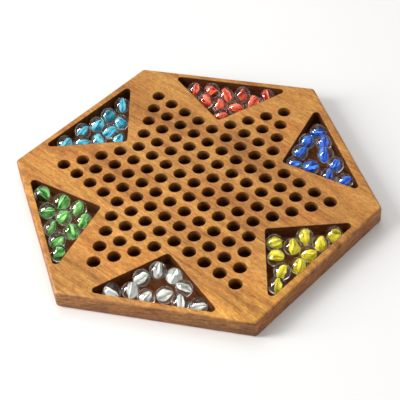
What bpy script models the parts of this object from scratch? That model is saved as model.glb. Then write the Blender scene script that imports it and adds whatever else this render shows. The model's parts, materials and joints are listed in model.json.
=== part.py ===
"""Chinese checkers board: a thick hexagonal wooden board with a star of drilled
seats, six triangular pockets along its edges, and ten glass marbles lying in each
pocket. Two of the white marbles touch and share one body.

Units are metres, +Z is up. The origin is the middle of the board's underside.
The hexagon's corners lie at 0, 60, 120 ... degrees, so +X points at a corner and
-Y is the edge that faces the player with the white marbles.
"""

import math
from typing import NamedTuple

import bmesh
import bpy
from mathutils import Matrix, Vector

MM = 0.001

# ---------------------------------------------------------------- board
# Middle of the board to an edge, by the edge's direction in degrees; the opposite
# edge has the same. The hexagon was sawn by hand, so the three aren't quite equal.
BOARD_APOTHEMS = {30: 131.7 * MM, 90: 130.2 * MM, 150: 131.4 * MM}
BOARD_THICKNESS = 17.0 * MM
BOARD_CORNER_RADIUS = 3.5 * MM      # rounding of the six upright corners
MIN_CORNER_RADIUS = 0.3 * MM        # least the arris may leave of that rounding
BOARD_CORNER_STEPS = 3
BOARD_ARRIS = 2.4 * MM              # rounding-over of the top and bottom edges
ARRIS_STEPS = 4
WOOD_COLOUR = (0.52, 0.29, 0.11)

# ---------------------------------------------------------------- seats
SEAT_PITCH = 16.0 * MM              # middle to middle of neighbouring seats
SEAT_RADIUS = 5.4 * MM
SEAT_DEPTH = 9.0 * MM
SEAT_SIDES = 10
STAR_ARM = 4                        # rows of seats in each point of the star

# The drilling jig was not quite square to the sawn hexagon.
JIG_TURN = math.radians(-0.74)
JIG_SHIFT = (0.3 * MM, 0.2 * MM)

CUTTER_OVERSHOOT = 2.0 * MM         # how far the cutters stand above the board

# ---------------------------------------------------------------- pockets
POCKET_APEX = 76.0 * MM             # middle of the board to the pocket's inner corner
POCKET_BASE = 125.0 * MM            # middle of the board to the pocket's outer wall
POCKET_HALF_ANGLE = math.radians(46.5)  # half the angle at the inner corner
POCKET_CORNER_RADIUS = 3.0 * MM
POCKET_CORNER_STEPS = 4
POCKET_DEPTH = 12.0 * MM

# ---------------------------------------------------------------- marbles
MARBLE_RADIUS = 6.9 * MM            # nominal 14 mm game marbles
MARBLE_SEGMENTS = 12
MARBLE_RINGS = 8
FLOOR_GAP = 0.3 * MM                # marble to pocket floor
WALL_GAP = 0.3 * MM                 # marble to pocket wall
MARBLE_SPACING = 2 * MARBLE_RADIUS + 0.25 * MM
MARBLE_HEIGHT = BOARD_THICKNESS - POCKET_DEPTH + FLOOR_GAP + MARBLE_RADIUS

SETTLE_ROUNDS = 4000                # most rounds of nudging the marbles apart
SETTLE_TOLERANCE = 1e-7             # overlap that is let pass, and extra on each nudge

JOINED = {"white": (7, 8)}          # the marbles sharing one body, counted from 0
CONTACT_RADIUS = 0.7 * MM           # contact spot between those two
CONTACT_SIDES = 8


class Pocket(NamedTuple):
    name: str
    edge: float         # direction of the board edge, degrees
    glass: tuple        # colour of its marbles
    shift: tuple        # set off its place, along the edge and outwards, mm
    marbles: tuple      # rough places: along the edge from the pocket's middle line,
                        # and outwards from the middle of the board, mm


POCKETS = (
    Pocket("white", -90, (0.83, 0.86, 0.84), (-1.3, 0.3),
           ((-34, 118), (-20, 114), (-15, 101), (-5, 91), (9, 96),
            (-7, 118), (7, 115), (21, 104), (20, 118), (35, 118))),
    Pocket("yellow", -30, (0.80, 0.72, 0.08), (0.2, -0.2),
           ((-3, 89), (3, 101), (17, 102), (20, 116), (34, 118),
            (-14, 100), (7, 115), (-21, 112), (-8, 118), (-34, 118))),
    Pocket("blue", 30, (0.05, 0.20, 0.72), (-0.8, -1.6),
           ((27, 118), (19, 106), (14, 118), (10, 95), (0, 115),
            (-1, 86), (-9, 98), (-14, 118), (-24, 108), (-33, 118))),
    Pocket("red", 90, (0.75, 0.10, 0.06), (-2.5, -0.7),
           ((30, 115), (15, 117), (2, 113), (-12, 117), (-34, 118),
            (17, 103), (4, 100), (-10, 99), (-24, 108), (0, 86))),
    Pocket("teal", 150, (0.10, 0.55, 0.66), (2.0, 0.1),
           ((-32, 115), (-14, 114), (-17, 100), (-1, 114), (14, 117),
            (-2, 99), (34, 117), (24, 107), (13, 98), (0, 86))),
    Pocket("green", 210, (0.12, 0.50, 0.14), (1.4, 1.4),
           ((-34, 118), (-20, 105), (-14, 118), (-9, 94), (-2, 106),
            (4, 93), (6, 118), (14, 104), (20, 117), (34, 118))),
)


# ---------------------------------------------------------------- scene helpers
def clear_scene():
    for obj in list(bpy.data.objects):
        bpy.data.objects.remove(obj, do_unlink=True)


def new_collection(name):
    collection = bpy.data.collections.new(name)
    bpy.context.scene.collection.children.link(collection)
    return collection


def add_object(name, mesh, collection):
    obj = bpy.data.objects.new(name, mesh)
    collection.objects.link(obj)
    return obj


def add_helper(name, mesh, collection):
    """An object that only feeds a boolean: drawn as wire and not rendered."""
    helper = add_object(name, mesh, collection)
    helper.hide_render = True
    helper.display_type = "WIRE"
    return helper


def principled(name, colour, roughness, transmission=0.0):
    material = bpy.data.materials.new(name)
    material.use_nodes = True
    inputs = material.node_tree.nodes["Principled BSDF"].inputs
    inputs["Base Color"].default_value = (*colour, 1.0)
    inputs["Roughness"].default_value = roughness
    inputs["Transmission Weight"].default_value = transmission
    return material


def oiled_wood():
    return principled("oiled_wood", WOOD_COLOUR, roughness=0.45)


def marble_glass(pocket):
    return principled("glass_" + pocket.name, pocket.glass, roughness=0.05, transmission=0.6)


# ---------------------------------------------------------------- mesh helpers
def finish_mesh(work, mesh):
    """Writes the bmesh into the mesh and frees it."""
    work.to_mesh(mesh)
    work.free()
    return mesh


def add_cylinder(work, sides, radius, height, matrix):
    bmesh.ops.create_cone(
        work,
        cap_ends=True,
        segments=sides,
        radius1=radius,
        radius2=radius,
        depth=height,
        matrix=matrix,
    )


def rounded_outline(corners, radius, steps):
    """The polygon with each corner replaced by an arc; corners run counterclockwise."""
    points = []
    for i, corner in enumerate(corners):
        before = (corners[i - 1] - corner).normalized()
        after = (corners[(i + 1) % len(corners)] - corner).normalized()
        half_angle = before.angle(after) / 2
        centre = corner + (before + after).normalized() * (radius / math.sin(half_angle))
        start = corner + before * (radius / math.tan(half_angle)) - centre
        end = corner + after * (radius / math.tan(half_angle)) - centre
        sweep = start.angle_signed(end)     # positive is clockwise
        for k in range(steps + 1):
            points.append(centre + Matrix.Rotation(-sweep * k / steps, 2) @ start)
    return points


def outline_curve(name, outline, height):
    """A filled 2D curve, extruded evenly up and down to the height."""
    curve = bpy.data.curves.new(name, "CURVE")
    curve.dimensions = "2D"
    curve.fill_mode = "BOTH"
    curve.extrude = height / 2
    spline = curve.splines.new("POLY")
    spline.points.add(len(outline) - 1)
    for spline_point, point in zip(spline.points, outline):
        spline_point.co = (point.x, point.y, 0.0, 1.0)
    spline.use_cyclic_u = True
    return curve


def clean_mesh(mesh):
    """Welds the curve's caps to its sides and merges its flat faces."""
    work = bmesh.new()
    work.from_mesh(mesh)
    bmesh.ops.remove_doubles(work, verts=work.verts, dist=1e-6)
    bmesh.ops.dissolve_limit(
        work, angle_limit=math.radians(0.5), verts=work.verts, edges=work.edges
    )
    bmesh.ops.recalc_face_normals(work, faces=work.faces)
    finish_mesh(work, mesh)


def add_plate_helper(name, outline, low, high, collection):
    """A flat helper with the given outline, between two heights."""
    curve = outline_curve(name, outline, high - low)
    drawn = add_object(name + "_curve", curve, collection)
    drawn.location.z = (high + low) / 2
    bpy.context.view_layer.update()
    graph = bpy.context.evaluated_depsgraph_get()
    mesh = bpy.data.meshes.new_from_object(drawn.evaluated_get(graph))
    mesh.name = name
    clean_mesh(mesh)
    plate = add_helper(name, mesh, collection)
    plate.matrix_world = drawn.matrix_world.copy()
    bpy.data.objects.remove(drawn, do_unlink=True)


# ---------------------------------------------------------------- layout
def direction(degrees):
    angle = math.radians(degrees)
    return Vector((math.cos(angle), math.sin(angle)))


def left_of(vector):
    """The vector turned a quarter counterclockwise."""
    return Vector((-vector.y, vector.x))


def jig(point):
    """A point of the ideal pattern, as the jig really set it on the board."""
    return Matrix.Rotation(JIG_TURN, 2) @ Vector(point) + Vector(JIG_SHIFT)


def star_seats():
    """Middles of the 121 seats: two large triangles of seats that overlap in a star."""
    step_a = direction(30) * SEAT_PITCH
    step_b = Vector((0.0, 1.0)) * SEAT_PITCH
    reach = range(-2 * STAR_ARM, 2 * STAR_ARM + 1)
    seats = []
    for a in reach:
        for b in reach:
            coordinates = (a, b, -a - b)
            if min(coordinates) >= -STAR_ARM or max(coordinates) <= STAR_ARM:
                seats.append(step_a * a + step_b * b)
    return seats


def pocket_corners():
    """The pocket's sharp corners in its own frame: along the edge, and outwards."""
    half_width = (POCKET_BASE - POCKET_APEX) * math.tan(POCKET_HALF_ANGLE)
    return [
        Vector((0.0, POCKET_APEX)),
        Vector((half_width, POCKET_BASE)),
        Vector((-half_width, POCKET_BASE)),
    ]


def pocket_to_board(pocket, point):
    """A point of the pocket's own frame, on the board."""
    outward = direction(pocket.edge)
    shift_along, shift_out = pocket.shift
    return jig(
        left_of(outward) * (point.x + shift_along * MM)
        + outward * (point.y + shift_out * MM)
    )


def pocket_walls():
    """For each wall, a point on it and its inward direction."""
    corners = pocket_corners()
    walls = []
    for i, start in enumerate(corners):
        run = (corners[(i + 1) % len(corners)] - start).normalized()
        walls.append((start, left_of(run)))
    return walls


def settle(rough_places):
    """Nudges the marbles off each other and off the pocket's walls."""
    room = MARBLE_RADIUS + WALL_GAP
    walls = pocket_walls()
    points = [Vector(place) * MM for place in rough_places]
    for _ in range(SETTLE_ROUNDS):
        worst = 0.0
        for i in range(len(points)):
            for k in range(i):
                apart = points[i] - points[k]
                short = MARBLE_SPACING - apart.length
                if short > 0:
                    push = apart.normalized() * (short / 2 + SETTLE_TOLERANCE)
                    points[i] = points[i] + push
                    points[k] = points[k] - push
                    worst = max(worst, short)
        for i in range(len(points)):
            for start, inward in walls:
                short = room - (points[i] - start).dot(inward)
                if short > 0:
                    points[i] = points[i] + inward * (short + SETTLE_TOLERANCE)
                    worst = max(worst, short)
        if worst < SETTLE_TOLERANCE:
            return points
    raise ValueError("the marbles don't fit the pocket")


# ---------------------------------------------------------------- board
def board_corners(inset):
    """The hexagon's corners, from the one at +X counterclockwise, with each edge
    moved inwards by inset."""
    corners = []
    for corner_angle in range(0, 360, 60):
        edges = (corner_angle - 30, corner_angle + 30)
        normal_1, normal_2 = (direction(edge) for edge in edges)
        reach_1, reach_2 = (BOARD_APOTHEMS[edge % 180] - inset for edge in edges)
        # Where the two edge lines cross, by Cramer's rule.
        crossing = Vector((
            reach_1 * normal_2.y - reach_2 * normal_1.y,
            reach_2 * normal_1.x - reach_1 * normal_2.x,
        ))
        corners.append(crossing / normal_1.cross(normal_2))
    return corners


def board_levels():
    """Inset and height of each outline of the board, from the underside up."""
    levels = []
    for k in range(ARRIS_STEPS + 1):
        turn = math.radians(90) * k / ARRIS_STEPS
        levels.append(
            (BOARD_ARRIS * (1 - math.sin(turn)), BOARD_ARRIS * (1 - math.cos(turn)))
        )
    return levels + [(inset, BOARD_THICKNESS - z) for inset, z in reversed(levels)]


def board_mesh():
    """The sawn hexagon with its top and bottom edges rounded over."""
    work = bmesh.new()
    rings = []
    for inset, z in board_levels():
        radius = max(BOARD_CORNER_RADIUS - inset, MIN_CORNER_RADIUS)
        outline = rounded_outline(board_corners(inset), radius, BOARD_CORNER_STEPS)
        rings.append([work.verts.new((point.x, point.y, z)) for point in outline])
    for low, high in zip(rings, rings[1:]):
        for i in range(len(low)):
            k = (i + 1) % len(low)
            work.faces.new((low[i], low[k], high[k], high[i]))
    work.faces.new(rings[0][::-1])
    work.faces.new(rings[-1])
    return finish_mesh(work, bpy.data.meshes.new("board"))


def add_seat_cutters(cutters):
    """All the seats' drillings, as one object."""
    height = SEAT_DEPTH + CUTTER_OVERSHOOT
    middle_z = BOARD_THICKNESS - SEAT_DEPTH + height / 2
    work = bmesh.new()
    for seat in star_seats():
        place = jig(seat)
        matrix = Matrix.Translation((place.x, place.y, middle_z))
        add_cylinder(work, SEAT_SIDES, SEAT_RADIUS, height, matrix)
    mesh = finish_mesh(work, bpy.data.meshes.new("seat_cutters"))
    add_helper("seat_cutters", mesh, cutters)


def add_pocket_cutter(pocket, cutters):
    outline = rounded_outline(pocket_corners(), POCKET_CORNER_RADIUS, POCKET_CORNER_STEPS)
    add_plate_helper(
        "pocket_cutter_" + pocket.name,
        [pocket_to_board(pocket, point) for point in outline],
        low=BOARD_THICKNESS - POCKET_DEPTH,
        high=BOARD_THICKNESS + CUTTER_OVERSHOOT,
        collection=cutters,
    )


def make_board(parts, cutters):
    board = add_object("board", board_mesh(), parts)
    board.data.materials.append(oiled_wood())
    add_seat_cutters(cutters)
    for pocket in POCKETS:
        add_pocket_cutter(pocket, cutters)
    cut = board.modifiers.new("seats_and_pockets", "BOOLEAN")
    cut.operation = "DIFFERENCE"
    cut.operand_type = "COLLECTION"
    cut.collection = cutters
    cut.solver = "EXACT"


# ---------------------------------------------------------------- marbles
def marble_mesh(pocket):
    work = bmesh.new()
    bmesh.ops.create_uvsphere(
        work, u_segments=MARBLE_SEGMENTS, v_segments=MARBLE_RINGS, radius=MARBLE_RADIUS
    )
    mesh = finish_mesh(work, bpy.data.meshes.new("marble_" + pocket.name))
    mesh.shade_smooth()
    mesh.materials.append(marble_glass(pocket))
    return mesh


def contact_spot_mesh():
    """A thin rod along Z that bridges two touching marbles."""
    work = bmesh.new()
    add_cylinder(work, CONTACT_SIDES, CONTACT_RADIUS, MARBLE_RADIUS, Matrix.Identity(4))
    return finish_mesh(work, bpy.data.meshes.new("contact_spot"))


def join_neighbour(marble, neighbour_place, helpers):
    """Adds the touching neighbour and the contact spot between them to a marble."""
    here = Vector(marble.location)
    there = Vector(neighbour_place)
    neighbour = add_helper("joined_marble", marble.data, helpers)
    neighbour.location = there

    spot = add_helper("contact_spot", contact_spot_mesh(), helpers)
    spot.location = (here + there) / 2
    spot.rotation_mode = "QUATERNION"
    spot.rotation_quaternion = (there - here).to_track_quat("Z", "Y")

    for label, helper in (("spot", spot), ("neighbour", neighbour)):
        join = marble.modifiers.new(label, "BOOLEAN")
        join.operation = "UNION"
        join.object = helper
        join.solver = "EXACT"


def make_marbles(pocket, parts, helpers):
    mesh = marble_mesh(pocket)
    flat_places = [pocket_to_board(pocket, point) for point in settle(pocket.marbles)]
    places = [(place.x, place.y, MARBLE_HEIGHT) for place in flat_places]
    host, guest = JOINED.get(pocket.name, (None, None))
    for i, place in enumerate(places):
        if i == guest:
            continue
        name = f"marble_{pocket.name}_{i + 1:02d}"
        if i == host:
            name += f"_{guest + 1:02d}"
        marble = add_object(name, mesh, parts)
        marble.location = place
        if i == host:
            join_neighbour(marble, places[guest], helpers)


def main():
    clear_scene()
    parts = new_collection("chinese_checkers_board")
    cutters = new_collection("chinese_checkers_board_cutters")
    helpers = new_collection("chinese_checkers_board_helpers")
    make_board(parts, cutters)
    for pocket in POCKETS:
        make_marbles(pocket, parts, helpers)
    bpy.context.view_layer.update()


main()
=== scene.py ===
"""Chinese checkers board: the looks.

A hexagonal wooden board lies flat, its face up towards +Z, with a corner at +X and a
straight edge at the front, -Y.  It has eased rims and worked pockets.  Each marble is
a clear glass ball with coloured vanes inside it.  Metres, +Z up, the CAD's frame.
"""
import json
import math
import random

import bmesh
import bpy
from mathutils import Matrix, Vector, geometry, noise


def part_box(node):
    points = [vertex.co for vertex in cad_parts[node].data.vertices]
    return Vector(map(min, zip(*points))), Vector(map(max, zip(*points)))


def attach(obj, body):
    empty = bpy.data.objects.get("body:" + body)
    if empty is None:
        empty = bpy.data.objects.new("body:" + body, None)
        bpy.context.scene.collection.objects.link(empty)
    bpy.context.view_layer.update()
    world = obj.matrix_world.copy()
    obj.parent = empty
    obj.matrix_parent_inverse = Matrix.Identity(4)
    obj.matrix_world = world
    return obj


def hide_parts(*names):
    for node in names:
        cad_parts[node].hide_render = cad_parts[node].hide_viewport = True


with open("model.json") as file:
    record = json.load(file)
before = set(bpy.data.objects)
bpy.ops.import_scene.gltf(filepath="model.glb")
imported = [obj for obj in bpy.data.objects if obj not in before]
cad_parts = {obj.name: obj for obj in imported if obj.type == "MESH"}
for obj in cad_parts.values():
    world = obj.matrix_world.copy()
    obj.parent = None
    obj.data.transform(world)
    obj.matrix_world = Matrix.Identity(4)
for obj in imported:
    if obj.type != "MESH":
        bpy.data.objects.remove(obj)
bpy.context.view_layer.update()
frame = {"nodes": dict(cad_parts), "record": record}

# ---------------------------------------------------------------- dimensions
MM = 0.001

# From the centre to each straight edge, by its direction in degrees.  The edge
# opposite lies as far out.
BOARD_APOTHEMS = {30: 131.7 * MM, 90: 130.2 * MM, 150: 131.4 * MM}
BOARD_CORNER_RADIUS = 3.5 * MM
BOARD_CORNER_LEAST = 0.35 * MM  # corner radius left when the outline moves inwards
BOARD_CORNER_STEPS = 6
BOARD_ARRIS = 2.4 * MM
ARRIS_STEPS = 8
ARRIS_WANDER = 0.16 * MM        # how unevenly the arris is sanded
EDGE_PARTS = 30                 # runs along each straight edge
FACE_BORDER = 0.5 * MM          # flat strip between the arris and the filled face
FACE_BOW = 0.2 * MM

HOLE_PITCH = 16.0 * MM
HOLE_RADIUS = 5.4 * MM
HOLE_DEPTH = 9.0 * MM
HOLE_BEVEL = 0.4 * MM           # between wall and floor
HOLE_SEGMENTS = 44
HOLE_EASE = 0.35 * MM           # sanded rounding of a seat's rim
HOLE_FADE = 0.9 * MM            # how far the rubbed rim fades into the face
RIM_STEPS = 4
DRILL_POINT_RADIUS = 0.9 * MM
DRILL_POINT_DEPTH = 0.7 * MM
STAR_ARM = 4                    # seats along an arm of the star

# How the star and the pockets lie on the board.
JIG_TURN = math.radians(-0.74)
JIG_SHIFT = (0.3 * MM, 0.2 * MM)

# A pocket is a triangle whose apex points to the centre.
POCKET_APEX = 76.0 * MM
POCKET_BASE = 125.0 * MM
POCKET_HALF_ANGLE = math.radians(46.5)
POCKET_CORNER_RADIUS = 3.0 * MM
POCKET_CORNER_STEPS = 8
POCKET_DEPTH = 12.0 * MM
POCKET_FILLET = 0.6 * MM        # what the router bit leaves between wall and floor
POCKET_EASE = 0.3 * MM
POCKET_FADE = 0.6 * MM
# Direction in degrees, and the shift in mm across and along that direction.
POCKETS = (
    (-90, (-1.3, 0.3)),         # white
    (-30, (0.2, -0.2)),         # yellow
    (30, (-0.8, -1.6)),         # blue
    (90, (-2.5, -0.7)),         # red
    (150, (2.0, 0.1)),          # teal
    (210, (1.4, 1.4)),          # green
)

MARBLE_RADIUS = 6.9 * MM

GRAIN = math.radians(-30)       # direction of the grain, and of the glued staves

CAMERA_AT = Vector((184.6, -634.8, 697.5)) * MM
# The camera's axes before CAMERA_TURN swings them about +Z.
CAMERA_RIGHT = Vector((0.97059554, 0.23577595, -0.04851797))
CAMERA_UP = Vector((-0.1396782, 0.715794, 0.6841995))
CAMERA_BACK = Vector((0.19604666, -0.65730408, 0.72767922))
CAMERA_TURN = math.radians(-0.743)
CAMERA_LENS = 105.75            # mm, on a 36 mm sensor


# ------------------------------------------------------------------- helpers
def link(obj):
    bpy.context.scene.collection.objects.link(obj)
    return obj


def unit(degrees):
    return Vector((math.cos(math.radians(degrees)), math.sin(math.radians(degrees))))


def float_attribute(mesh, label, values):
    mesh.attributes.new(label, "FLOAT", "POINT").data.foreach_set("value", values)


def face_outwards(mesh):
    work = bmesh.new()
    work.from_mesh(mesh)
    bmesh.ops.recalc_face_normals(work, faces=work.faces)
    work.to_mesh(mesh)
    work.free()


# ------------------------------------------------------------------ outlines
def rounded_outline(corners, radius, steps):
    """[(point, outward normal)] of a convex polygon whose corners are arcs."""
    made = []
    count = len(corners)
    for i, corner in enumerate(corners):
        before = (corners[i - 1] - corner).normalized()
        after = (corners[(i + 1) % count] - corner).normalized()
        half = before.angle(after) / 2
        middle = corner + (before + after).normalized() * (radius / math.sin(half))
        start = corner + before * (radius / math.tan(half)) - middle
        end = corner + after * (radius / math.tan(half)) - middle
        sweep = start.angle_signed(end)
        for k in range(steps + 1):
            arm = Matrix.Rotation(-sweep * k / steps, 2) @ start
            made.append((middle + arm, arm.normalized()))
    return made


def jig(point):
    return Matrix.Rotation(JIG_TURN, 2) @ Vector(point) + Vector(JIG_SHIFT)


def star_seats():
    """The seats on a triangular grid that lie in either of the star's two triangles."""
    first, second = unit(30) * HOLE_PITCH, unit(90) * HOLE_PITCH
    seats = []
    steps = range(-2 * STAR_ARM, 2 * STAR_ARM + 1)
    for a in steps:
        for b in steps:
            c = -a - b
            if min(a, b, c) >= -STAR_ARM or max(a, b, c) <= STAR_ARM:
                seats.append(first * a + second * b)
    return seats


def board_corners(inset):
    """The sawn hexagon's corners, counterclockwise from the one at +X."""
    corners = []
    for i in range(6):
        before, after = 60 * i - 30, 60 * i + 30
        one, other = unit(before), unit(after)
        one_far, other_far = (BOARD_APOTHEMS[way % 180] - inset for way in (before, after))
        meet = Vector(
            (one_far * other.y - other_far * one.y, one.x * other_far - other.x * one_far)
        )
        corners.append(meet / one.cross(other))
    return corners


def board_outline(inset):
    """The board's outline moved inwards, always with the same number of points."""
    radius = max(BOARD_CORNER_RADIUS - inset, BOARD_CORNER_LEAST)
    made = []
    arcs = rounded_outline(board_corners(inset), radius, BOARD_CORNER_STEPS)
    for i, (point, normal) in enumerate(arcs):
        made.append((point, normal))
        if i % (BOARD_CORNER_STEPS + 1) == BOARD_CORNER_STEPS:
            following = arcs[(i + 1) % len(arcs)][0]
            for k in range(1, EDGE_PARTS):
                made.append((point.lerp(following, k / EDGE_PARTS), normal))
    return made


def pocket_outline(degrees, shift):
    half = (POCKET_BASE - POCKET_APEX) * math.tan(POCKET_HALF_ANGLE)
    corners = [
        Vector((0.0, POCKET_APEX)),
        Vector((half, POCKET_BASE)),
        Vector((-half, POCKET_BASE)),
    ]
    outward = unit(degrees)
    along = Vector((-outward.y, outward.x))
    made = []
    for point, normal in rounded_outline(corners, POCKET_CORNER_RADIUS, POCKET_CORNER_STEPS):
        at = along * (point.x + shift[0] * MM) + outward * (point.y + shift[1] * MM)
        facing = Matrix.Rotation(JIG_TURN, 2) @ (along * normal.x + outward * normal.y)
        made.append((jig(at), facing))
    # The pocket's axes turn the outline's sense round, so put it back counterclockwise.
    area = sum(here[0].cross(there[0]) for here, there in zip(made, made[1:] + made[:1]))
    return made if area > 0 else made[::-1]


class Shell:
    """Gathers rings of points and the faces between them into one closed mesh.

    Each point holds its wear (rubbed finish) and its cut and shade (depth in worked wood,
    which also sets how much painted shade darkens the walls and floors of holes and pockets),
    0 to 1.
    """

    def __init__(self):
        self.points, self.wear, self.cut = [], [], []
        self.faces, self.smooth = [], []

    def point(self, x, y, z, wear=0.0, cut=0.0):
        self.points.append((x, y, z))
        self.wear.append(wear)
        self.cut.append(cut)
        return len(self.points) - 1

    def ring(self, outline, offset, z, wear=0.0, cut=0.0):
        """offset and wear are each one value, or a list with one for each point."""
        made = []
        for i, (point, normal) in enumerate(outline):
            out = offset[i] if isinstance(offset, list) else offset
            worn = wear[i] if isinstance(wear, list) else wear
            made.append(
                self.point(point.x + normal.x * out, point.y + normal.y * out, z, worn, cut)
            )
        return made

    def face(self, corners, smooth):
        self.faces.append(corners)
        self.smooth.append(smooth)

    def bridge(self, low, high, smooth=True):
        count = len(low)
        for i in range(count):
            k = (i + 1) % count
            self.face((low[i], low[k], high[k], high[i]), smooth)

    def object(self, name):
        mesh = bpy.data.meshes.new(name)
        mesh.from_pydata(self.points, [], self.faces)
        float_attribute(mesh, "wear", self.wear)
        float_attribute(mesh, "cut", self.cut)
        mesh.polygons.foreach_set("use_smooth", self.smooth)
        face_outwards(mesh)
        mesh.set_sharp_from_angle(angle=math.radians(38))
        return link(bpy.data.objects.new(name, mesh))


# ------------------------------------------------------------ node materials
class Net:
    """A short way to write a material's node tree."""

    def __init__(self, name):
        self.material = bpy.data.materials.new(name)
        self.material.use_nodes = True
        self.tree = self.material.node_tree
        self.tree.nodes.clear()
        self.output = self.add("ShaderNodeOutputMaterial")

    def add(self, kind, inputs=None, **settings):
        node = self.tree.nodes.new(kind)
        for key, value in settings.items():
            setattr(node, key, value)
        for key, value in (inputs or {}).items():
            self.put(node.inputs[key], value)
        return node

    def put(self, socket, value):
        if isinstance(value, bpy.types.NodeSocket):
            self.tree.links.new(value, socket)
        elif socket.type == "RGBA" and len(value) == 3:
            socket.default_value = (*value, 1.0)
        else:
            socket.default_value = value

    def finish(self, surface):
        self.put(self.output.inputs["Surface"], surface)
        return self.material

    def where(self):
        """The place in the object's own frame, in metres."""
        return self.add("ShaderNodeTexCoord").outputs["Object"]

    def attribute(self, name):
        return self.add("ShaderNodeAttribute", attribute_name=name).outputs["Fac"]

    def math(self, operation, a, b=0.0, clamp=False):
        inputs = {0: a, 1: b, 2: 0.0}
        return self.add(
            "ShaderNodeMath", inputs, operation=operation, use_clamp=clamp
        ).outputs[0]

    def times(self, a, b):
        return self.math("MULTIPLY", a, b)

    def weighted(self, *terms, start=None):
        """start plus every value times its weight."""
        total = start
        for value, weight in terms:
            part = self.times(value, abs(weight))
            if total is None:
                total = part
            else:
                total = self.math("SUBTRACT" if weight < 0 else "ADD", total, part)
        return total

    def vector(self, operation, a, b):
        node = self.add("ShaderNodeVectorMath", {0: a, 1: b}, operation=operation)
        return node.outputs["Value" if operation == "DOT_PRODUCT" else "Vector"]

    def remap(self, value, over, to=(0.0, 1.0), kind="SMOOTHSTEP"):
        """Takes the values from over[0] to over[1] to those from to[0] to to[1]."""
        inputs = {"Value": value, "From Min": over[0], "From Max": over[1],
                  "To Min": to[0], "To Max": to[1]}
        node = self.add("ShaderNodeMapRange", inputs, interpolation_type=kind)
        return node.outputs["Result"]

    def mix(self, factor, a, b, blend="MIX"):
        node = self.add(
            "ShaderNodeMix", {"Factor": factor, 6: a, 7: b}
            if False else None, data_type="RGBA", blend_type=blend
        )
        self.put(node.inputs["Factor"], factor)
        self.put(node.inputs[6], a)
        self.put(node.inputs[7], b)
        return node.outputs[2]

    def tinted(self, colour, by, amount):
        """The colour multiplied by another, as far as the amount says."""
        return self.mix(amount, colour, self.mix(1.0, colour, by, "MULTIPLY"))

    def ramp(self, factor, stops, interpolation="LINEAR"):
        """stops are (position, colour), in order."""
        node = self.add("ShaderNodeValToRGB", {"Fac": factor})
        node.color_ramp.interpolation = interpolation
        elements = node.color_ramp.elements
        for element, (position, colour) in zip(elements, (stops[0], stops[-1])):
            element.position = position
            element.color = (*colour, 1)
        for position, colour in stops[1:-1]:
            elements.new(position).color = (*colour, 1)
        return node.outputs["Color"]

    def noise(self, at, scale=1.0, stretch=None, detail=2.0, rough=0.5):
        """scale, or stretch for each axis, is in cells per unit of length."""
        if stretch:
            at = self.vector("MULTIPLY", at, stretch)
        inputs = {"Vector": at, "Scale": scale, "Detail": detail, "Roughness": rough}
        return self.add("ShaderNodeTexNoise", inputs).outputs["Fac"]

    def cells(self, at, scale=1.0, stretch=None):
        if stretch:
            at = self.vector("MULTIPLY", at, stretch)
        return self.add("ShaderNodeTexVoronoi", {"Vector": at, "Scale": scale}).outputs

    def bump(self, height, strength, distance):
        inputs = {"Strength": strength, "Distance": distance, "Height": height}
        return self.add("ShaderNodeBump", inputs).outputs["Normal"]

    def shader(self, kind, inputs):
        return self.add("ShaderNodeBsdf" + kind, inputs).outputs[0]

    def mix_shaders(self, factor, one, other):
        return self.add("ShaderNodeMixShader", {0: factor, 1: one, 2: other}).outputs[0]


# ---------------------------------------------------------------------- wood
# The wood's texture space is in mm, with X along the grain and Y across it.
STAVE_SEAMS = (-75.0, -12.0, 81.0)      # across the grain
STAVE_JUMP = (311.7, 57.3, 143.1)       # from one stave's piece of tree to the next
PITH_DEPTH = 34.0                       # below z = 0
PITH_STEP = 71.0                        # across the grain, from stave to stave
PITH_START = 1.3                        # stave number whose pith lies at Y = 0
RING_GAP = 5.2

WOOD_TONES = (
    (0.00, (0.240, 0.078, 0.012)),
    (0.28, (0.430, 0.165, 0.026)),
    (0.52, (0.570, 0.250, 0.045)),
    (0.76, (0.690, 0.335, 0.070)),
    (1.00, (0.800, 0.420, 0.105)),
)
# Each stave's own tone, multiplied in; positions are stave number / 3.
STAVE_TONES = (
    (0.00, (1.10, 1.10, 1.04)),
    (0.17, (0.98, 0.97, 0.92)),
    (0.50, (0.90, 0.89, 0.88)),
    (0.84, (0.95, 0.95, 0.94)),
)


def wood_staves(net, turned, across):
    """Glued staves: their number, the seams, and the place in each one's piece of tree."""
    stave = seam = None
    for at in STAVE_SEAMS:
        passed = net.math("GREATER_THAN", across, at)
        stave = passed if stave is None else net.math("ADD", stave, passed)
        near = net.math("ABSOLUTE", net.math("SUBTRACT", across, at))
        line = net.remap(near, over=(0.05, 0.35), to=(1.0, 0.0))
        seam = line if seam is None else net.math("MAXIMUM", seam, line)
    jumps = {axis: net.times(stave, jump) for axis, jump in zip("XYZ", STAVE_JUMP)}
    shift = net.add("ShaderNodeCombineXYZ", jumps).outputs[0]
    return stave, seam, net.vector("ADD", turned, shift)


def wood_rings(net, place, stave, across, height):
    """Growth rings round a pith that lies under the board; 1 is late wood."""
    bend = net.noise(place, stretch=(0.006, 0.02, 0.02))
    fine_bend = net.noise(place, stretch=(0.03, 0.25, 0.25), detail=3.0)
    pith = net.times(net.math("SUBTRACT", stave, PITH_START), PITH_STEP)
    side = net.math("SUBTRACT", across, pith)
    rise = net.math("ADD", height, PITH_DEPTH)
    square = net.math("ADD", net.times(side, side), net.times(rise, rise))
    radius = net.weighted((bend, 34.0), (fine_bend, 2.4), start=net.math("SQRT", square))
    wave = net.math("SINE", net.times(radius, 2 * math.pi / RING_GAP))
    sharpness = 2.2
    return net.math("POWER", net.remap(wave, over=(-1.0, 1.0)), sharpness)


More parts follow.
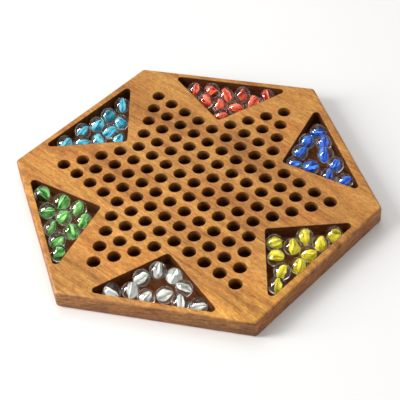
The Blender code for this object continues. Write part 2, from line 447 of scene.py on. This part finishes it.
def wood_pores(net, place, streak):
    """Open pores, short dark dashes along the grain, and smaller specks."""
    large = net.cells(place, stretch=(0.24, 1.55, 1.55))
    pick, size, _ = net.add("ShaderNodeSeparateColor", {"Color": large["Color"]}).outputs
    reach = net.remap(size, over=(0.0, 1.0), to=(0.35, 1.1))
    far = net.math("DIVIDE", large["Distance"], reach)
    dash = net.remap(far, over=(0.12, 0.34), to=(1.0, 0.0))
    pore = net.times(dash, net.remap(pick, over=(0.34, 0.56)))
    pore = net.times(pore, net.remap(streak, over=(0.38, 0.58), to=(0.30, 1.0)))
    small = net.cells(place, stretch=(0.50, 2.9, 2.9))
    return pore, net.remap(small["Distance"], over=(0.10, 0.32), to=(1.0, 0.0))


def wood_patches(net, colour, place):
    """Patches of redder and of yellower wood, and flecks a millimetre or two across."""
    zone = net.noise(place, stretch=(0.010, 0.034, 0.034))
    mottle = net.noise(place, stretch=(0.10, 0.34, 0.34), detail=3.0, rough=0.65)
    grit = net.noise(place, stretch=(0.24, 0.62, 0.62), detail=3.0, rough=0.8)
    # The pattern, its values, the amounts they give, and the tint.
    for pattern, over, to, tint in (
        (zone, (0.50, 0.66), (0.0, 0.55), (0.95, 0.77, 0.66)),      # wide and red
        (mottle, (0.50, 0.68), (0.0, 0.34), (0.86, 0.66, 0.52)),    # small and red
        (mottle, (0.30, 0.48), (0.30, 0.0), (1.10, 1.14, 1.05)),    # small and golden
        (grit, (0.50, 0.62), (0.0, 0.75), (0.70, 0.58, 0.50)),      # dark flecks
        (grit, (0.36, 0.48), (0.70, 0.0), (1.30, 1.35, 1.32)),      # pale flecks
    ):
        colour = net.tinted(colour, by=tint, amount=net.remap(pattern, over=over, to=to))
    return colour


def wood_sides(net, colour, where, place, height, cloud, cut):
    """End grain, the streaked sawn edges, and wide, soft patches of painted shade and painted
    light.
    """
    facing = net.add("ShaderNodeNewGeometry").outputs["True Normal"]
    grain = (math.cos(GRAIN), math.sin(GRAIN), 0.0)
    end = net.math("ABSOLUTE", net.vector("DOT_PRODUCT", facing, grain))
    end_sharpness = 1.6
    end = net.math("POWER", end, end_sharpness)
    colour = net.tinted(colour, by=(0.98, 0.96, 1.00), amount=end)

    # The sawn edges, without the walls of holes and pockets.
    upright = net.add("ShaderNodeSeparateXYZ", {"Vector": facing}).outputs[2]
    side = net.remap(net.math("ABSOLUTE", upright), over=(0.55, 0.95), to=(1.0, 0.0))
    side = net.times(side, net.remap(cut, over=(0.0, 0.2), to=(1.0, 0.0)))
    colour = net.tinted(colour, by=(0.69, 0.60, 0.64), amount=side)

    # Painted shade darkens the front left corner, and painted light makes the face's front
    # right corner paler.
    painted_shade_left = net.vector("DOT_PRODUCT", where, (-0.500, -0.866, 0.0))
    painted_shade_left = net.remap(painted_shade_left, over=(0.085, 0.150))
    colour = net.tinted(colour, by=(0.82, 0.84, 0.82), amount=painted_shade_left)
    right = net.vector("DOT_PRODUCT", where, (0.500, -0.866, 0.0))
    right = net.remap(right, over=(0.095, 0.150))
    right = net.times(right, net.math("SUBTRACT", 1.0, side))
    colour = net.tinted(colour, by=(1.18, 1.34, 1.22), amount=right)

    # Painted shade darkens the front edge towards its right end.
    painted_shade_front = net.vector("DOT_PRODUCT", facing, (0.0, -1.0, 0.0))
    painted_shade_front = net.times(net.remap(painted_shade_front, over=(0.70, 0.95)), side)
    across_front = net.vector("DOT_PRODUCT", where, (1.0, 0.0, 0.0))
    painted_shade_front = net.times(
        painted_shade_front, net.remap(across_front, over=(-0.070, 0.070), to=(0.15, 1.0))
    )
    colour = net.tinted(colour, by=(0.68, 0.79, 0.88), amount=painted_shade_front)

    # Dark veins, and a dark foot.
    vein = net.noise(place, stretch=(0.030, 0.10, 0.62), detail=4.0, rough=0.62)
    vein = net.times(side, net.remap(vein, over=(0.42, 0.64), to=(0.0, 0.80)))
    colour = net.tinted(colour, by=(0.42, 0.30, 0.27), amount=vein)
    foot = net.times(side, net.remap(height, over=(2.0, 13.0), to=(0.55, 0.0)))
    foot = net.times(foot, net.remap(cloud, over=(0.25, 0.65), to=(0.4, 1.0)))
    return net.tinted(colour, by=(0.50, 0.42, 0.44), amount=foot)


def wood_wear_and_shade(net, colour, turned, wear, cut):
    """Rubbed edges turn pale in places and grimy in others; cut walls and floors darken,
    partly as raw cut wood and partly as painted shade in the hollows.
    """
    rub = net.noise(turned, scale=0.16, detail=4.0, rough=0.6)
    rub = net.times(wear, net.remap(rub, over=(0.42, 0.66)))
    colour = net.mix(net.times(rub, 0.26), colour, (0.80, 0.48, 0.20))
    grime = net.noise(turned, scale=0.30, detail=3.0, rough=0.6)
    grime = net.times(wear, net.remap(grime, over=(0.44, 0.64)))
    colour = net.mix(net.times(grime, 0.42), colour, (0.20, 0.065, 0.022))
    # Partly the darker raw cut wood and partly painted shade: the walls and floors of holes
    # and pockets darken with depth.
    return net.tinted(colour, by=(0.100, 0.045, 0.080), amount=cut)


def wood_material():
    net = Net("oiled_wood")
    where = net.where()
    turned = net.add(
        "ShaderNodeMapping",
        {"Vector": where, "Rotation": (0.0, 0.0, -GRAIN), "Scale": (1000, 1000, 1000)},
    ).outputs["Vector"]
    _, across, height = net.add("ShaderNodeSeparateXYZ", {"Vector": turned}).outputs
    stave, seam, place = wood_staves(net, turned, across)
    late = wood_rings(net, place, stave, across, height)
    wear, cut = net.attribute("wear"), net.attribute("cut")

    blotch = net.noise(place, stretch=(0.012, 0.045, 0.045), detail=3.0, rough=0.55)
    streak = net.noise(place, stretch=(0.035, 0.75, 0.75), detail=4.0, rough=0.6)
    fibre = net.noise(place, stretch=(0.16, 3.2, 3.2), detail=3.0, rough=0.65)
    cloud = net.noise(place, stretch=(0.08, 0.12, 0.12))
    pore, speck = wood_pores(net, place, streak)

    # A low tone is dark wood, a high one pale.
    tone = net.weighted(
        (blotch, 0.62), (streak, 0.50), (fibre, 0.42), (cloud, 0.30), (late, -0.10)
    )
    colour = net.ramp(net.remap(tone, over=(0.59, 1.15), kind="LINEAR"), WOOD_TONES)
    stave_share = net.math("DIVIDE", stave, float(len(STAVE_SEAMS)))
    stave_tone = net.ramp(stave_share, STAVE_TONES, "CONSTANT")
    colour = net.mix(1.0, colour, stave_tone, "MULTIPLY")
    colour = wood_patches(net, colour, place)
    # What is marked, how strongly, and in which colour.
    for mark, strength, dark in (
        (pore, 0.66, (0.115, 0.040, 0.014)),
        (speck, 0.56, (0.20, 0.070, 0.024)),
        (seam, 0.45, (0.16, 0.06, 0.02)),
    ):
        colour = net.mix(net.times(mark, strength), colour, dark)
    colour = wood_sides(net, colour, where, place, height, cloud, cut)
    colour = wood_wear_and_shade(net, colour, turned, wear, cut)

    # Cut wood is rougher and has lost most of its polish.
    rough = net.weighted((streak, 0.16), (pore, 0.25), (wear, 0.08), start=0.40)
    rough = net.math("ADD", rough, net.times(cut, 0.30), clamp=True)
    polish = net.math("SUBTRACT", 1.0, net.times(cut, 0.85))
    relief = net.weighted((fibre, 0.30), (pore, -0.9), (speck, -0.35), (seam, -0.5))
    return net.finish(net.shader("Principled", {
        "Base Color": colour,
        "Roughness": rough,
        "IOR": 1.42,
        "Specular IOR Level": net.times(polish, 0.38),
        "Coat Weight": net.times(polish, 0.06),
        "Coat Roughness": 0.25,
        "Normal": net.bump(relief, strength=0.55, distance=0.00018),
    }))


# --------------------------------------------------------------------- glass
def glass_material(name, tint):
    """Clear glass with rubbed, faintly scratched skin.  Its shadow lets some light through."""
    net = Net("glass_" + name)
    where = net.where()
    haze = net.noise(where, scale=420.0, detail=3.0, rough=0.6)
    scratch = net.noise(where, stretch=(3200, 500, 700), rough=0.6)
    marks = net.remap(scratch, over=(0.66, 0.80))
    rough = net.weighted((marks, 0.05), start=0.010)
    rough = net.math("ADD", rough, net.remap(haze, over=(0.45, 0.75), to=(0.0, 0.02)))
    seeds = net.cells(where, scale=900.0)["Distance"]
    pit = net.remap(seeds, over=(0.04, 0.12), to=(1.0, 0.0))
    relief = net.math("SUBTRACT", net.times(haze, 0.4), pit)
    pale = tuple(0.86 + 0.10 * channel for channel in tint)
    skin = net.shader("Principled", {
        "Base Color": net.mix(net.remap(haze, over=(0.3, 0.7)), (0.93, 0.945, 0.93), pale),
        "Roughness": rough,
        "IOR": 1.5,
        "Transmission Weight": 1.0,
        "Normal": net.bump(relief, strength=0.04, distance=0.00002),
    })
    clear = net.shader("Transparent", {"Color": (0.90, 0.90, 0.90)})
    shadow = net.add("ShaderNodeLightPath").outputs["Is Shadow Ray"]
    shadow_passed = 0.40
    return net.finish(net.mix_shaders(net.times(shadow, shadow_passed), skin, clear))


def vane_material(name, deep, body, pale):
    """Milky coloured glass in streaks, thinner and paler towards a vane's edge."""
    net = Net("vane_" + name)
    where = net.where()
    streak = net.noise(where, stretch=(560, 560, 90), detail=3.0, rough=0.6)
    cloud = net.noise(where, scale=230.0)
    tone = net.weighted((net.attribute("edge"), 0.34), (streak, 0.86), (cloud, 0.55))
    colour = net.ramp(
        net.remap(tone, over=(0.60, 1.06), kind="LINEAR"),
        ((0.0, deep), (0.45, body), (1.0, pale)),
    )
    milky = net.shader("Principled", {
        "Base Color": colour,
        "Roughness": net.weighted((cloud, 0.3), start=0.22),
        "IOR": 1.12,
        "Normal": net.bump(streak, strength=0.5, distance=0.00015),
    })
    translucent_share = 0.45
    glowing = net.mix_shaders(
        translucent_share, milky, net.shader("Translucent", {"Color": colour})
    )
    # Where the streaks thin out, the glass is clear, with a little of the body's tint.
    thin = net.remap(tone, over=(0.56, 0.88), to=(0.72, 0.03))
    tint_share = 0.35
    tint = net.mix(tint_share, (0.96, 0.96, 0.96), body)
    clear = net.shader("Transparent", {"Color": tint})
    return net.finish(net.mix_shaders(thin, glowing, clear))


# --------------------------------------------------------------------- board
def arris_ring(shell, base, sense, seed, step):
    """One ring of a hand-sanded arris, whose rounding wanders a little along the edge."""
    angle = math.radians(90) * step / ARRIS_STEPS
    lift = math.sin(2 * angle)
    wear = 0.15 + 0.85 * lift
    outline = board_outline(BOARD_ARRIS * (1 - math.sin(angle)))
    # 38 per metre sets the length of the waves.
    wander = [noise.noise(Vector((p.x * 38, p.y * 38, seed))) for p, _ in outline]
    return shell.ring(
        outline,
        [-ARRIS_WANDER * lift * (0.5 + w) for w in wander],
        base + sense * BOARD_ARRIS * (1 - math.cos(angle)),
        [wear * (0.75 + 0.5 * w) for w in wander],
    )


def board_body(shell, top, bottom):
    """The underside, the arrises and edges, and the face's border, whose ring it gives."""
    rings = []
    for base, sense, seed in ((bottom, 1, 3.1), (top, -1, 9.7)):
        for step in range(ARRIS_STEPS + 1)[::sense]:
            rings.append(arris_ring(shell, base, sense, seed, step))
    for one, other in zip(rings, rings[1:]):
        shell.bridge(one, other)
    shell.face(tuple(rings[0]), False)
    # The border bows out by a hair, so that no three of its points are in line.
    border = board_outline(BOARD_ARRIS + FACE_BORDER)
    per_side = EDGE_PARTS + BOARD_CORNER_STEPS
    share = [
        max(i % per_side - BOARD_CORNER_STEPS, 0) / EDGE_PARTS for i in range(len(border))
    ]
    inner = shell.ring(border, [FACE_BOW * t * (1 - t) for t in share], top)
    shell.bridge(rings[-1], inner, False)
    return inner


def cut_rim(shell, rim, ease, fade, top, cut):
    """The faded ring on the face and the eased rim: its outermost and its last ring."""
    outer = shell.ring(rim, ease + fade, top)
    last = shell.ring(rim, ease, top, wear=0.9)
    shell.bridge(outer, last, False)
    for k in range(1, RIM_STEPS + 1):
        angle = math.radians(90) * k / RIM_STEPS
        ring = shell.ring(
            rim,
            ease * (1 - math.sin(angle)),
            top - ease * (1 - math.cos(angle)),
            wear=1.0 - 0.8 * k / RIM_STEPS,
            cut=cut * k / RIM_STEPS,
        )
        shell.bridge(last, ring)
        last = ring
    return outer, last


def cut_hole(shell, at, top):
    """A seat for a marble, drilled, with the drill point's mark in its floor."""
    circle = [unit(360 * k / HOLE_SEGMENTS) for k in range(HOLE_SEGMENTS)]
    rim = [(at + way * HOLE_RADIUS, way) for way in circle]
    # The cut values also set how much painted shade darkens the seat's rim, wall and floor.
    outer, last = cut_rim(shell, rim, HOLE_EASE, HOLE_FADE, top, cut=0.42)
    floor = top - HOLE_DEPTH
    # Offset from the wall, height, cut and painted shade, and whether the faces above are
    # smooth.
    for offset, z, cut, smooth in (
        (0.0, top - HOLE_DEPTH / 2, 0.78, True),
        (0.0, floor + HOLE_BEVEL, 1.0, True),
        (-HOLE_BEVEL, floor, 1.0, True),
        (DRILL_POINT_RADIUS - HOLE_RADIUS, floor, 1.0, False),
    ):
        ring = shell.ring(rim, offset, z, cut=cut)
        shell.bridge(last, ring, smooth)
        last = ring
    tip = shell.point(at.x, at.y, floor - DRILL_POINT_DEPTH, cut=1.0)
    for i in range(HOLE_SEGMENTS):
        shell.face((last[i], last[(i + 1) % HOLE_SEGMENTS], tip), True)
    return outer


def cut_pocket(shell, degrees, shift, top):
    rim = pocket_outline(degrees, shift)
    # The cut values also set how much painted shade darkens the pocket's rim, walls and floor.
    outer, last = cut_rim(shell, rim, POCKET_EASE, POCKET_FADE, top, cut=0.90)
    floor = top - POCKET_DEPTH
    for k in range(RIM_STEPS + 1):
        angle = math.radians(90) * k / RIM_STEPS
        ring = shell.ring(
            rim,
            -POCKET_FILLET * (1 - math.cos(angle)),
            floor + POCKET_FILLET * (1 - math.sin(angle)),
            cut=0.97 - 0.06 * k / RIM_STEPS,
        )
        shell.bridge(last, ring)
        last = ring
    shell.face(tuple(last), False)
    return outer


def flat_top(shell, loops):
    """Fills the face between the outline, the first loop, and the rims with triangles."""
    order = [i for loop in loops for i in loop]
    loop_of = {i: number for number, loop in enumerate(loops) for i in loop}
    index = {i: k for k, i in enumerate(order)}
    flat = [Vector(shell.points[i][:2]) * 1000 for i in order]
    edges = []
    for loop in loops:
        for start, end in zip(loop, loop[1:] + loop[:1]):
            edges.append((index[start], index[end]))
    output_type, epsilon, need_ids = 0, 1e-7, True
    _, _, faces, origin, _, _ = geometry.delaunay_2d_cdt(
        flat, edges, [], output_type, epsilon, need_ids
    )
    back = [order[ids[0]] for ids in origin]
    for face in faces:
        corners = tuple(back[k] for k in face)
        held = {loop_of[corner] for corner in corners}
        # A triangle held by one rim alone lies over its opening.
        if len(held) > 1 or 0 in held:
            shell.face(corners, False)


def build_board():
    low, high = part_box("board")
    top = high.z
    shell = Shell()
    loops = [board_body(shell, top, low.z)]
    for seat in star_seats():
        loops.append(cut_hole(shell, jig(seat), top))
    for degrees, shift in POCKETS:
        loops.append(cut_pocket(shell, degrees, shift, top))
    flat_top(shell, loops)
    board = shell.object("board_wood")
    board.data.materials.append(wood_material())
    return board


# ------------------------------------------------------------------- marbles
BALL_KINDS = 5

# A vane's cross-section and size, in marble radii: its arms as (direction in
# degrees, length), how far the longest reaches, half its height, how far the arms
# curl (degrees), and how thick they are at the root.
STYLES = {
    "full": (((0, 1.00), (146, 0.94), (262, 0.66)), 0.60, 0.66, 58, 0.075),
    "half": (((0, 1.00), (112, 0.46), (240, 0.38)), 0.66, 0.66, 40, 0.070),
    "slim": (((0, 1.00), (172, 0.88), (80, 0.80), (262, 0.70)), 0.42, 0.66, 34, 0.060),
    "bands": (((12, 0.98), (100, 0.76), (190, 0.96), (280, 0.74)), 0.60, 0.62, 84, 0.065),
    "oval": (((0, 1.00), (176, 1.00), (90, 0.50)), 0.58, 0.52, 50, 0.085),
}
VANE_STATIONS = (0.10, 0.24, 0.40, 0.56, 0.72, 0.86, 0.96)   # along an arm, tip at 1
VANE_ROWS = 24                                               # cross-sections up the axis

# How each marble came to rest: its vanes' shape, which way their axis runs across
# the view (degrees from level), the turn about that axis, and the lean towards the
# viewer.
LIE = {
    "white": (
        ("half", -35, 10, 5), ("half", 85, 0, 0), ("full", 30, 0, 10),
        ("slim", 85, 0, 0), ("full", 70, 20, -10), ("slim", 45, 40, 20),
        ("full", 20, -15, 0), ("half", -30, 180, 10), ("slim", 92, 10, 0),
        ("half", 5, 0, 10),
    ),
    "yellow": (
        ("bands", 5, 45, 10), ("half", 88, 10, 0), ("full", 100, -10, 10),
        ("bands", 80, 10, 0), ("oval", 5, 0, 0), ("half", 0, 170, 10),
        ("half", 12, 10, -10), ("full", 60, 0, 15), ("bands", 85, 60, 0),
        ("half", 80, 5, 0),
    ),
    "blue": (
        ("slim", 0, 0, 10), ("bands", 45, 20, 0), ("full", 90, 0, 10),
        ("slim", 40, 20, 0), ("half", 92, 175, 0), ("half", 0, 80, 0),
        ("full", 20, 10, 0), ("slim", 60, 40, 30), ("slim", 80, 80, 0),
        ("full", 30, 0, 0),
    ),
    "red": (
        ("half", 85, 10, 0), ("oval", 5, 10, 0), ("full", 110, 0, 0),
        ("oval", 85, 0, 10), ("half", 92, 175, 0), ("bands", 120, 30, 0),
        ("bands", 85, 10, 10), ("full", 0, 10, 0), ("full", 60, -20, 10),
        ("full", 20, 0, 15),
    ),
    "teal": (
        ("half", 85, 5, 0), ("oval", 60, 0, 0), ("oval", 0, 10, 10),
        ("half", 45, 5, 0), ("half", 40, 10, 10), ("full", 30, 0, 0),
        ("half", 48, 0, 0), ("half", 10, 5, 0), ("bands", 130, 30, 0),
        ("oval", 70, 0, 10),
    ),
    "green": (
        ("half", -45, 175, 0), ("half", 65, 5, 0), ("half", 10, 5, 0),
        ("bands", 75, 20, 0), ("full", 40, 10, 10), ("full", 60, 0, 0),
        ("slim", 70, 60, 0), ("full", 110, 0, 0), ("half", 30, 60, 0),
        ("oval", 45, 0, 0),
    ),
}

# Deep, body and pale colour of the vanes, linear.
VANES = {
    "white": ((0.16, 0.19, 0.17), (0.68, 0.72, 0.68), (1.00, 1.00, 0.97)),
    "yellow": ((0.14, 0.12, 0.001), (0.90, 0.79, 0.008), (1.00, 0.95, 0.15)),
    "blue": ((0.002, 0.010, 0.12), (0.008, 0.10, 0.66), (0.13, 0.42, 1.00)),
    "red": ((0.15, 0.006, 0.004), (0.88, 0.085, 0.030), (1.00, 0.36, 0.20)),
    "teal": ((0.003, 0.07, 0.10), (0.02, 0.44, 0.62), (0.34, 0.90, 1.00)),
    "green": ((0.006, 0.05, 0.006), (0.07, 0.42, 0.055), (0.52, 0.92, 0.38)),
}


def random_drift(rng):
    """A random place in the noise."""
    return Vector([rng.uniform(-9, 9) for _ in range(3)])


def glass_ball(name, seed):
    """A pressed glass ball: almost round, with its two faint cut-off marks."""
    rng = random.Random(seed)
    work = bmesh.new()
    bmesh.ops.create_icosphere(work, subdivisions=4, radius=1.0)
    drift = random_drift(rng)
    marks = [Vector((0, 0, 1)), Vector((rng.uniform(-0.2, 0.2), 0.1, -1)).normalized()]
    mark_depth, mark_width = 0.010, 0.16    # marble radii, radians
    for vert in work.verts:
        way = vert.co.normalized()
        swell = 0.0035 * noise.noise(way * 1.4 + drift) - 0.004
        for mark in marks:
            swell -= mark_depth * math.exp(-((way.angle(mark) / mark_width) ** 2))
        vert.co = way * (MARBLE_RADIUS * (1 + min(swell, 0.0)))
    mesh = bpy.data.meshes.new(name)
    work.to_mesh(mesh)
    work.free()
    mesh.shade_smooth()
    return mesh


def arm_section(turn_at, far, root, swell):
    """[(point, share of the arm)] round one arm, out along one side and back."""
    sides = ([], [])
    for share in VANE_STATIONS:
        turn = turn_at(share)
        heading = Vector((math.cos(turn), math.sin(turn)))
        normal = Vector((-heading.y, heading.x))
        # Half the thickness: thickest at the root, and never more than the arm has room for.
        thick = (root * (1 - share) ** 1.5 + 0.028 - 0.016 * share ** 4) * (0.4 + 0.6 * swell)
        thick = min(thick, far * share * 0.8 + 0.010)
        middle = heading * (far * share)
        sides[0].append((middle - normal * thick, share))
        sides[1].append((middle + normal * thick, share))
    turn = turn_at(1.0)
    tip = Vector((math.cos(turn), math.sin(turn))) * far
    return sides[0] + [(tip, 1.0)] + sides[1][::-1]


def vane_mesh(name, style, seed):
    """A closed solid: arms round an axis, swelling in the middle and drawn to points."""
    arms, width, reach, curl, root = STYLES[style]
    rng = random.Random(seed)
    arms = sorted(
        (math.radians(angle + rng.uniform(-10, 10)), length * rng.uniform(0.86, 1.0))
        for angle, length in arms
    )
    curl = math.radians(rng.choice((-1, 1)) * curl * rng.uniform(0.8, 1.2))
    twist = math.radians(rng.choice((-1, 1)) * rng.uniform(18, 50))
    drift = random_drift(rng)
    points, edge, faces = [], [], []
    for row in range(1, VANE_ROWS + 1):
        level = math.sin((-1 + 2 * row / (VANE_ROWS + 1)) * math.pi / 2)
        swell = max(0.0, 1 - abs(level) ** 2.2) ** 0.58
        height = level * reach
        for angle, length in arms:
            spot = Vector((math.cos(angle) * 2, math.sin(angle) * 2, level * 1.9)) + drift
            far = width * length * swell * (1 + 0.22 * noise.noise(spot))
            sway = 0.40 * noise.noise(spot * 1.3)

            def turn_at(share):
                return angle + curl * share * share + twist * level + sway * share

            for point, share in arm_section(turn_at, far, root, swell):
                points.append(
                    (point.x * MARBLE_RADIUS, point.y * MARBLE_RADIUS, height * MARBLE_RADIUS)
                )
                edge.append(share)
    size = len(points) // VANE_ROWS
    for row in range(VANE_ROWS - 1):
        low, high = row * size, (row + 1) * size
        for i in range(size):
            k = (i + 1) % size
            faces.append((low + i, low + k, high + k, high + i))
    for row, z in ((0, -reach * 1.01), (VANE_ROWS - 1, reach * 1.01)):
        tip = len(points)
        points.append((0.0, 0.0, z * MARBLE_RADIUS))
        edge.append(0.5)
        for i in range(size):
            faces.append((row * size + i, row * size + (i + 1) % size, tip))
    mesh = bpy.data.meshes.new(name)
    mesh.from_pydata(points, [], faces)
    float_attribute(mesh, "edge", edge)
    face_outwards(mesh)
    mesh.shade_smooth()
    mesh.set_sharp_from_angle(angle=math.radians(65))
    return mesh


def view_axes():
    """The camera's right, up and back."""
    turn = Matrix.Rotation(CAMERA_TURN, 3, "Z")
    return turn @ CAMERA_RIGHT, turn @ CAMERA_UP, turn @ CAMERA_BACK


def marble_places():
    """[(colour, number, middle, CAD node, body)] for all sixty marbles."""
    bodies = frame["record"]["behaviour"]["bodies"]
    body_of = {node: body for body, members in bodies.items() for node in members}
    made = []
    for node in sorted(frame["nodes"]):
        if not node.startswith("marble_"):
            continue
        _, colour, *numbers = node.split("_")
        low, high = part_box(node)
        middles = ((low + high) / 2,)
        if len(numbers) == 2:
            # The first of the pair is the one further back and further to the left.
            arm = MARBLE_RADIUS
            middles = (
                Vector((low[0] + arm, high[1] - arm, low[2] + arm)),
                Vector((high[0] - arm, low[1] + arm, low[2] + arm)),
            )
        for number, middle in zip(numbers, middles):
            made.append((colour, int(number), middle, node, body_of[node]))
    return made


def vane_turn(axis_angle, roll, lean):
    """The vane's rotation, from its row in LIE."""
    right, up, back = view_axes()
    axis_angle, roll, lean = (math.radians(d) for d in (axis_angle, roll, lean))
    flat = right * math.cos(axis_angle) + up * math.sin(axis_angle)
    side = right * math.sin(axis_angle) - up * math.cos(axis_angle)
    axis = flat * math.cos(lean) + back * math.sin(lean)
    side = (side - axis * side.dot(axis)).normalized()
    third = axis.cross(side)
    # The vane's X starts at the side and turns towards the viewer.
    sense = 1 if third.dot(back) > 0 else -1
    x = side * math.cos(roll) + third * sense * math.sin(roll)
    y = axis.cross(x)
    return Matrix((x, y, axis)).transposed().to_4x4()


def build_marbles():
    balls = [glass_ball(f"glass_ball_{k}", 40 + k) for k in range(BALL_KINDS)]
    glass, vanes = {}, {}
    for colour, tones in VANES.items():
        glass[colour] = glass_material(colour, tones[1])
        vanes[colour] = vane_material(colour, *tones)
    for colour, number, middle, node, body in marble_places():
        seed = sum(map(ord, colour)) * 100 + number
        rng = random.Random(seed)
        style, *lie = LIE[colour][number - 1]
        label = f"{colour}_{number:02d}"
        at = Matrix.Translation(middle)

        ball = bpy.data.objects.new("glass_" + label, balls[seed % BALL_KINDS].copy())
        ball.data.name = "glass_" + label
        ball.data.materials.append(glass[colour])
        spin = Matrix.Rotation(rng.uniform(0, 6.28), 4, "Z") @ Matrix.Rotation(
            rng.uniform(0, 6.28), 4, "X"
        )
        ball.matrix_world = at @ spin
        link(ball)

        name = "vanes_" + label
        core = bpy.data.objects.new(name, vane_mesh(name, style, seed))
        core.data.materials.append(vanes[colour])
        core.matrix_world = at @ vane_turn(*lie)
        link(core)
        for piece in (ball, core):
            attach(piece, body)
        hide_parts(node)


# --------------------------------------------------------------------- stage
def build_floor():
    bpy.ops.mesh.primitive_circle_add(vertices=96, radius=5.0, fill_type="NGON")
    floor = bpy.context.object
    floor.name = "studio_floor"
    net = Net("studio_floor")
    tone = net.remap(net.noise(net.where(), scale=3.0), over=(0.3, 0.7), to=(0.90, 0.92))
    colour = net.add("ShaderNodeCombineColor", {0: tone, 1: tone, 2: tone}).outputs[0]
    matt = net.shader("Principled", {"Base Color": colour, "Roughness": 0.9})
    floor.data.materials.append(net.finish(matt))


def build_world():
    """White walls all round: what glass shows of them is brighter than the light
    they throw on the wood."""
    world = bpy.data.worlds.new("studio")
    world.use_nodes = True
    tree = world.node_tree
    sky = tree.nodes["Background"]
    sky.inputs["Color"].default_value = (1.0, 0.99, 0.97, 1.0)
    path = tree.nodes.new("ShaderNodeLightPath")
    seen = tree.nodes.new("ShaderNodeMath")
    seen.operation = "MAXIMUM"
    tree.links.new(path.outputs["Is Singular Ray"], seen.inputs[0])
    tree.links.new(path.outputs["Is Transmission Ray"], seen.inputs[1])
    strength = tree.nodes.new("ShaderNodeMapRange")
    strength.inputs["To Min"].default_value = 0.43
    strength.inputs["To Max"].default_value = 0.95
    tree.links.new(seen.outputs[0], strength.inputs["Value"])
    tree.links.new(strength.outputs["Result"], sky.inputs["Strength"])
    bpy.context.scene.world = world


def softbox(name, towards, distance, size, power, colour):
    """A rectangular lamp out along a direction, aimed at the origin."""
    data = bpy.data.lights.new(name, "AREA")
    data.shape = "RECTANGLE"
    data.size, data.size_y = size
    data.energy = power
    data.color = colour
    lamp = link(bpy.data.objects.new(name, data))
    way = Vector(towards).normalized()
    lamp.location = way * distance
    lamp.rotation_mode = "QUATERNION"
    lamp.rotation_quaternion = way.to_track_quat("Z", "Y")
    lamp.visible_camera = False
    return lamp


def build_lights():
    softbox("key", towards=(-0.84, -0.31, 0.49), distance=1.7, size=(0.60, 1.20),
            power=30.0, colour=(1.0, 0.985, 0.96))
    softbox("top", towards=(-0.25, 0.55, 1.0), distance=2.2, size=(1.6, 1.6),
            power=12.0, colour=(1.0, 0.99, 0.98))
    softbox("fill", towards=(0.80, -0.48, 0.50), distance=2.4, size=(1.8, 1.6),
            power=9.0, colour=(1.0, 0.99, 0.97))
    # A tall strip that only polished surfaces show.
    strip = softbox("strip", towards=(-0.80, -0.34, 0.49), distance=1.9, size=(0.62, 2.20),
                    power=105.0, colour=(1.0, 1.0, 1.0))
    strip.visible_diffuse = False
    strip.visible_transmission = False


def build_camera():
    data = bpy.data.cameras.new("camera")
    data.sensor_width = 36.0
    data.lens = CAMERA_LENS
    data.clip_start, data.clip_end = 0.05, 50.0
    camera = link(bpy.data.objects.new("camera", data))
    turn = Matrix(view_axes()).transposed().to_4x4()
    camera.matrix_world = Matrix.Translation(CAMERA_AT) @ turn
    bpy.context.scene.camera = camera


# ----------------------------------------------------------------------- run
board_rider = next(
    body
    for body, members in frame["record"]["behaviour"]["bodies"].items()
    if "board" in members
)
wood = build_board()
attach(wood, board_rider)
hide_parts("board")
build_marbles()
build_floor()
build_world()
build_lights()
build_camera()

scene = bpy.context.scene
scene.view_settings.view_transform = "Standard"
scene.view_settings.look = "None"

bpy.context.view_layer.update()
